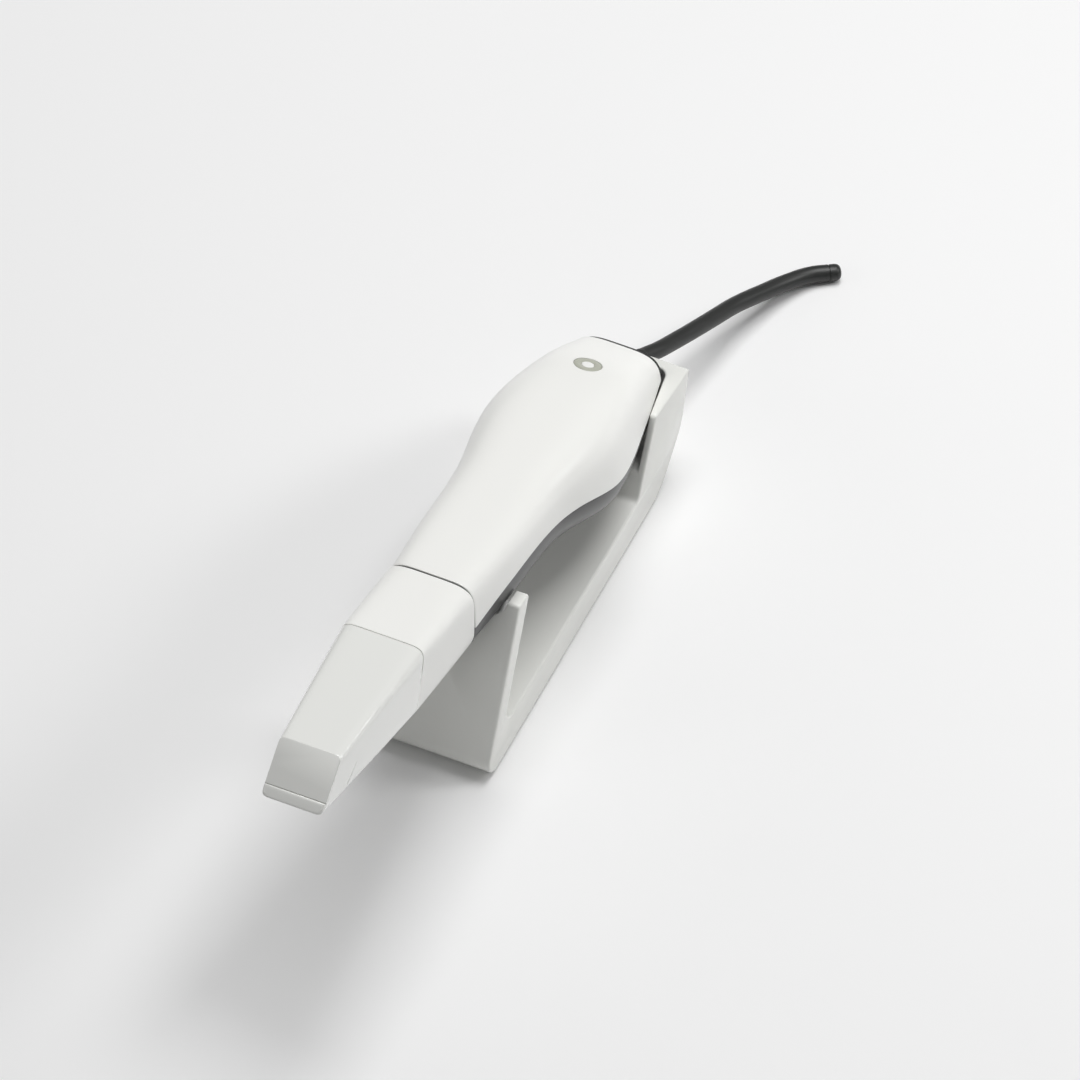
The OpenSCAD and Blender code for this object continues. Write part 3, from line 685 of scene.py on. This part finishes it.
def make_button():
    """The grey ring, and the white centre that sits in a well in it."""
    flange_r, flange_top, well = BUTTON_R + 0.6, 0.8 - BUTTON_H, -1.2
    cap = lathe("button_ring", [
        (0, -BUTTON_H), (flange_r, -BUTTON_H), (flange_r, flange_top), (BUTTON_R, flange_top),
        (BUTTON_R, -0.3), (BUTTON_R - 0.08, -0.1), (BUTTON_R - 0.3, 0),
        (DOT_R + 0.25, 0), (DOT_R + 0.08, -0.07), (DOT_R, -0.25), (DOT_R, well), (0, well)], on_button())
    stand_for(smooth(cap, 50), "button_cap", "button")
    side_r = DOT_R - 0.05
    dot = lathe("button_centre", [
        (0, well), (side_r, well), (side_r, -0.2), (DOT_R - 0.12, -0.06), (DOT_R - 0.35, 0),
        (1, 0.02), (0.4, 0.03), (0, 0.03)], on_button())
    stand_for(smooth(dot, 50), "button_dot", "button")


make_top_shell()
make_lower_shell()
make_rear_cap()
make_button()

# ---------------------------------------------------------------- tip

# The tip's half widths at its front, where the cover meets the collar, and at the body.
TIP_FRONT_HALF = 9
TIP_MIDDLE_HALF = 12.3
TIP_REAR_HALF = 13
# How far its top rises from the body to the cover, and falls along the cover to the front.
TIP_RISE = 1.2
TIP_FALL = 6.2
# Its lowest points (u, v), at the front and at the body.
TIP_LOW_FRONT = np.array([-88.7, -18.2])
TIP_LOW_REAR = np.array([5.4, -24.2])
# The front face is set back this far behind the lip along its foot.
FRONT_STEP = 0.5
# Wall round the light channel, and the height of the nose's middle.
TIP_WALL = 1.9
NOSE_V = -11.2
# The seam between cover and collar: its depth and half its width.
SEAM_DEPTH = 0.6
SEAM_HALF = 0.22
# The front face's top, the direction down along it, and the direction in behind it, as (u, v).
FACE_TOP = np.array([-TIP_LEN, TIP_RISE - TIP_FALL])
FACE_DOWN = (TIP_LOW_FRONT - FACE_TOP) / np.linalg.norm(TIP_LOW_FRONT - FACE_TOP)
FACE_IN = np.array([-FACE_DOWN[1], FACE_DOWN[0]])


def tip_ring(t, inset):
    """Closed ring of the tip's section whose top is at u = t.

    The section stands upright at the body, and its foot reaches further ahead of its top the nearer
    it is to the front. The inset is one number, or a function of the angle round the section."""
    a = np.linspace(0, 360, 721)[:-1]
    part = (t + TIP_LEN) / TIP_LEN
    ahead = (-COLLAR_LEN - t) / (TIP_LEN - COLLAR_LEN)
    if ahead > 0:
        half = TIP_MIDDLE_HALF + (TIP_FRONT_HALF - TIP_MIDDLE_HALF) * ahead
        rise = TIP_RISE - TIP_FALL * ahead
    else:
        back = (t + COLLAR_LEN) / COLLAR_LEN
        half = TIP_MIDDLE_HALF + (TIP_REAR_HALF - TIP_MIDDLE_HALF) * back
        rise = TIP_RISE * (1 - back)
    low = TIP_LOW_FRONT + (TIP_LOW_REAR - TIP_LOW_FRONT) * part
    top = np.array([t, rise])
    # Squareness: almost a rectangle at the front, rounder at the body.
    n = 13 - 8.4 * part
    d = inset(a) if callable(inset) else np.full(len(a), float(inset))
    reach = (top - low) / 2
    size = np.linalg.norm(reach)
    up_share = (size - d) / size * squared(np.sin(np.radians(a)), n)
    x = (half - d) * squared(np.cos(np.radians(a)), n)
    ring = np.concatenate([x[:, None], (top + low) / 2 + reach * up_share[:, None]], -1)
    closed = np.concatenate([ring, ring[:1]])
    return place(evened(closed, 161)[:-1])


def seam_inset(share):
    """A groove over the top and half way down each side, that fades out there."""
    def inset(a):
        over = np.where(a <= 180, np.clip(np.minimum(a, 180 - a) / 2.0, 0, 1), 0)
        return SEAM_DEPTH * share * over
    return inset


def rim_stations(at, ahead):
    """Stations and insets that lead into the seam at u = at, from the front or from the rear."""
    steps = [
        (2.5, 0), (1.2, 0), (0.6, 0), (SEAM_HALF, 0.06), (SEAM_HALF * 0.85, 0.5),
        (SEAM_HALF * 0.6, 0.9), (0, 1)]
    rows = [(at + (-d if ahead else d), seam_inset(share)) for d, share in steps]
    return rows if ahead else rows[::-1]


def nose_bore(front):
    """The rounded rectangular bore that the nose fits in, from u = front to past the body's joint."""
    rear, half_w, half_h, r = 12, 10.3, 9.4, 4.4
    corners = [(-half_w, -half_h), (half_w, -half_h), (half_w, half_h), (-half_w, half_h)]
    outline = rounded([(x * MM, y * MM, r * MM) for x, y in corners], 6)
    turn = Matrix.Translation((0, rear * MM, NOSE_V * MM)) @ Matrix.Rotation(math.radians(90), 4, "X")
    return prism("bore", outline, 0, (rear - front) * MM, HANDPIECE @ turn)


def side_prism(name, outline, width, matrix=HANDPIECE):
    """An outline of (u, v) points in millimetres, spread over a width across x."""
    n = len(outline)
    halves = (-width / 2, width / 2)
    verts = [matrix @ Vector((x * MM, u * MM, v * MM)) for x in halves for u, v in outline]
    faces = [tuple(range(n)), tuple(reversed(range(n, 2 * n)))]
    faces += [(j, (j + 1) % n, n + (j + 1) % n, n + j) for j in range(n)]
    return add_object(name, verts, faces)


def on_face(down, depth):
    """Point of the tip's side outline, from the top of the front face and in behind it."""
    return tuple(FACE_TOP + FACE_DOWN * down + FACE_IN * depth)


def face_cutters():
    """Sets the front face back, down to a rounded lip along its foot with a groove above it."""
    wide = 2 * TIP_FRONT_HALF + 4
    step = side_prism("face_step", [
        on_face(-6, -3), on_face(13.7, -3), on_face(13.6, 0), on_face(13.15, 0.08), on_face(12.95, 0.25),
        on_face(12.9, FRONT_STEP), on_face(-6, FRONT_STEP)], wide)
    groove = side_prism("foot_groove", [
        on_face(12.6, -1), on_face(12.9, -1), on_face(12.85, 0.85), on_face(12.65, 0.85)], wide)
    return step, groove


def channel_ring(t):
    """Four corners of the light channel's section."""
    part = (t + TIP_LEN) / TIP_LEN
    ahead = (-COLLAR_LEN - t) / (TIP_LEN - COLLAR_LEN)
    half = TIP_MIDDLE_HALF + (TIP_FRONT_HALF - TIP_MIDDLE_HALF) * ahead - TIP_WALL
    low = TIP_LOW_FRONT + (TIP_LOW_REAR - TIP_LOW_FRONT) * part
    top = np.array([t, TIP_RISE - TIP_FALL * ahead])
    lean = (top - low) / np.linalg.norm(top - low) * TIP_WALL
    a, b = low + lean, top - lean
    return place([(half, *a), (half, *b), (-half, *b), (-half, *a)])


def window_cutter():
    """The window in the tip's underside, below the mirror."""
    middle, half_w, half_len, r = -75, 6.2, 7.5, 1.5
    corners = [(-half_w, -half_len), (half_w, -half_len), (half_w, half_len), (-half_w, half_len)]
    outline = rounded([(x * MM, (middle + u) * MM, r * MM) for x, u in corners], 8)
    return prism("window", outline, -26 * MM, -13 * MM, HANDPIECE)


def side_groove(side):
    """A short slanting groove in the tip's side, near its front, that fades out at the top."""
    x = side * 9.1
    far, flare = side * 2.5, side * 0.02
    low, high = np.array([-73.6, -17.0]), np.array([-68.6, -12.6])
    wide = np.array([0.16, -0.16])
    ring_low = [
        (x, *(low - wide)), (x, *(low + wide)), (x + far, *(low + wide)), (x + far, *(low - wide))]
    ring_high = [
        (x + side * 0.5, *(high - wide / 3)), (x + side * 0.5, *(high + wide / 3)),
        (x + far + flare, *(high + wide / 3)), (x + far + flare, *(high - wide / 3))]
    return rings_mesh("side_groove", [place(ring_low), place(ring_high)])


def make_tip_cover():
    """The tip's front piece, hollow from the mirror to the nose."""
    edge = 0.9
    rows = []
    for a in np.radians(np.linspace(90, 0, 10)):
        rows.append((edge * (1 - math.sin(a)) - TIP_LEN, edge * (1 - math.cos(a))))
    rows += [(t, 0) for t in np.linspace(edge + 1 - TIP_LEN, -COLLAR_LEN - 3.5, 40)]
    rows += rim_stations(-COLLAR_LEN, True)
    cover = rings_mesh("tip_cover_skin", [tip_ring(t, d) for t, d in rows])
    step, groove = face_cutters()
    channel = rings_mesh("channel", [channel_ring(t) for t in (-TIP_LEN + 2.9, -36)])
    bore = nose_bore(-37)
    window = window_cutter()
    cut(cover, step)
    baked(bevel(cover, 0.4 * MM, 3, 50))
    cut(cover, groove, channel, bore, window, *[side_groove(side) for side in (-1, 1)])
    stand_for(smooth(without_slivers(cover), 42), "tip_cover", "tip")


def make_tip_collar():
    """The tip's rear piece, which pushes onto the nose."""
    rows = rim_stations(-COLLAR_LEN, False)
    rows += [(t, 0) for t in np.linspace(-COLLAR_LEN + 4, -2, 28)]
    end, edge = -0.3, 0.3
    for a in np.radians(np.linspace(0, 90, 5)):
        rows.append((end - edge * (1 - math.sin(a)), edge * (1 - math.cos(a))))
    collar = rings_mesh("tip_collar_skin", [tip_ring(t, d) for t, d in rows])
    cut(collar, nose_bore(-COLLAR_LEN - 9))
    stand_for(smooth(collar, 42), "tip_collar", "tip")


make_tip_cover()
make_tip_collar()

# ---------------------------------------------------------------- cradle

# The cradle's width, the place that its lengths are measured from, and its floor's height.
CRADLE_W = 36
CRADLE_Y = -20.5
FLOOR_Z = 12.6
# The front upright's lean from the vertical, thickness and height.
FRONT_LEAN = math.radians(23.7)
FRONT_T = 7.2
FRONT_H = 52.3
# The rear upright's lean, the foot of its front face, the height of its front edge, and the far end
# of its pocket.
REAR_LEAN = math.radians(26.6)
REAR_Y = CRADLE_Y + 96.5
REAR_H = 35.8
POCKET_END = CRADLE_Y + 126.4
# Thickness of the anti-slip pad below, half width of the saddle between the horns, and width of the
# cable's slot.
PAD_T = 0.8
SADDLE_HALF = 14.8
SLOT_W = 12
# Above every part of the cradle.
CLEAR_Z = 60


def front_at(z):
    """Where the front upright's front face is at a height."""
    return CRADLE_Y - 3.8 + z * math.tan(FRONT_LEAN)


def rear_at(z):
    """Where the rear upright's front face is at a height."""
    return REAR_Y + (z - FLOOR_Z) * math.tan(REAR_LEAN)


def cradle_outline():
    """The cradle's side outline as (y, z) points, all round, from the foot of its front face."""
    soft = 1.3
    horn_rear_z = FRONT_H - 0.9
    return [tuple(point) for point in rounded([
        (front_at(PAD_T), PAD_T, 5.5),
        (CRADLE_Y + 110.6, PAD_T, 15),
        (CRADLE_Y + 124.9, 14.3, 15),
        (CRADLE_Y + 130.3, 32.7, soft),
        (rear_at(REAR_H), REAR_H, soft),
        (rear_at(FLOOR_Z), FLOOR_Z, 2.5),
        (front_at(FLOOR_Z) + FRONT_T, FLOOR_Z, 4),
        (front_at(horn_rear_z) + FRONT_T, horn_rear_z, soft),
        (front_at(FRONT_H), FRONT_H, soft),
    ], 8)]


def upright_at(y):
    """Stands an outline of (x, y) points upright at y, to be raised from there to the front."""
    return Matrix.Translation((0, y * MM, 0)) @ Matrix.Rotation(math.radians(90), 4, "X")


def saddle_cutter():
    """The saddle in the front upright, which follows the neck's own section."""
    seam, low, n, top = -14, -25.15, 4.2, 12
    a = np.radians(np.linspace(180, 360, 200))
    x = SADDLE_HALF * squared(np.cos(a), n)
    v = seam + (seam - low) * squared(np.sin(a), n)
    cup = [(point[0], point[1]) for point in evened(np.stack([x, v, 0 * a], -1), 40)]
    outline = [(-SADDLE_HALF, top)] + cup + [(SADDLE_HALF, top)]
    outline = [(x * MM, v * MM) for x, v in outline]
    return prism("saddle", outline, 0, 60 * MM, HANDPIECE @ upright_at(50))


def pocket_cutter():
    """The pocket that the handpiece's rear end lies in, narrower at its far end."""
    half, end_half = 16, 12.9
    front_y, turn_y = REAR_Y - 1, REAR_Y + 12
    corners = [
        (-half, front_y, 0), (half, front_y, 0), (half, turn_y, 0),
        (end_half, POCKET_END, 3), (-end_half, POCKET_END, 3), (-half, turn_y, 0)]
    outline = rounded([(x * MM, y * MM, r * MM) for x, y, r in corners], 8)
    return prism("pocket", outline, 20 * MM, CLEAR_Z * MM)


def slot_cutter():
    """The cable's slot in the rear wall, round at its foot."""
    half, foot = SLOT_W / 2, 22.5
    turns = np.linspace(0, math.pi, 17)
    under = [(half * math.cos(t), foot + half - half * math.sin(t)) for t in turns]
    outline = [(half, CLEAR_Z)] + under + [(-half, CLEAR_Z)]
    outline = [(x * MM, z * MM) for x, z in outline]
    return prism("slot", outline, 0, 12 * MM, upright_at(POCKET_END + 9))


def slant_cutter():
    """Slants the rear upright down on the left of the slot, from a small flat beside it."""
    left, right = -CRADLE_W / 2 - 1, -SLOT_W / 2 + 0.1
    low_z, flat_z, flat_left = 24, 31, -SLOT_W / 2 - 2.4
    outline = [(left, low_z), (flat_left, flat_z), (right, flat_z), (right, CLEAR_Z), (left, CLEAR_Z)]
    outline = [(x * MM, z * MM) for x, z in outline]
    return prism("slant", outline, 0, 50 * MM, upright_at(REAR_Y + 45))


def underside_cutter(name, half, front_y, rear_y, low_z, high_z):
    """A rectangular hollow in the underside, in millimetres."""
    corners = [(-half, front_y), (half, front_y), (half, rear_y), (-half, rear_y)]
    return prism(name, [(x * MM, y * MM) for x, y in corners], low_z * MM, high_z * MM)


def make_cradle():
    """The cradle, with the base cover's recess and the ballast's well in its underside."""
    body = side_prism("cradle_skin", cradle_outline(), CRADLE_W, Matrix())
    cut(body, pocket_cutter(), slot_cutter(), slant_cutter())
    edges = bevel(body, 0.6 * MM, 3, 32)
    edges.modifiers["edges"].use_clamp_overlap = False
    baked(body)
    cut(body, saddle_cutter())
    baked(bevel(body, 0.3 * MM, 2, 50))
    recess = underside_cutter("recess", 15, -12.5, 79.5, -1, 2.4)
    well = underside_cutter("well", 12, -4.5, 71.5, 0, 9.2)
    cut(body, recess, well)
    stand_for(smooth(body, 35), "cradle_body", "cradle")


make_cradle()

# ---------------------------------------------------------------- inner pieces

REPLACED = {
    "cable", "cable_end", "strain_relief", "top_shell", "lower_shell", "rear_cap", "button_cap",
    "button_dot", "tip_cover", "tip_collar", "cradle_body"}


def finish_kept_nodes():
    """The CAD nodes that nothing replaces keep their shapes and get their finishes."""
    for name, node in nodes.items():
        if name not in REPLACED:
            for material_slot in node.material_slots:
                material_slot.material = MATERIALS[SLOTS[name]]


finish_kept_nodes()

# ---------------------------------------------------------------- floor, lights, picture

AIM = (0, 0.02, 0.03)


def make_floor():
    """A plain pale floor, wide enough for every view."""
    half = 4.0
    corners = [(-half, -half, 0), (half, -half, 0), (half, half, 0), (-half, half, 0)]
    floor = add_object("floor", corners, [(0, 1, 2, 3)])
    floor.data.materials.append(moulded("floor_finish", (0.93, 0.93, 0.93), 0.6, 0.003, 400, 1e-6))


def area_light(name, place_at, size, watts):
    """A soft white light, turned to the object."""
    data = bpy.data.lights.new(name, "AREA")
    data.shape = "RECTANGLE"
    data.size, data.size_y = size
    data.energy = watts
    light = bpy.data.objects.new(name, data)
    light.location = place_at
    light.rotation_mode = "QUATERNION"
    light.rotation_quaternion = (Vector(AIM) - Vector(place_at)).to_track_quat("-Z", "Y")
    bpy.context.scene.collection.objects.link(light)


def make_world(strength):
    """A dim, even white light from all round."""
    world = bpy.data.worlds.new("studio")
    world.use_nodes = True
    background = next(n for n in world.node_tree.nodes if n.type == "BACKGROUND")
    background.inputs["Color"].default_value = (1, 1, 1, 1)
    background.inputs["Strength"].default_value = strength
    bpy.context.scene.world = world


make_floor()
area_light("key", (0.12, 0.5, 1.5), (1.0, 0.8), 18.5)
area_light("side", (1.0, 0.7, 0.85), (0.35, 0.35), 4.4)
area_light("front", (-1.4, -1.0, 0.9), (0.9, 0.8), 1.9)
make_world(0.13)
bpy.context.scene.view_settings.view_transform = "Standard"
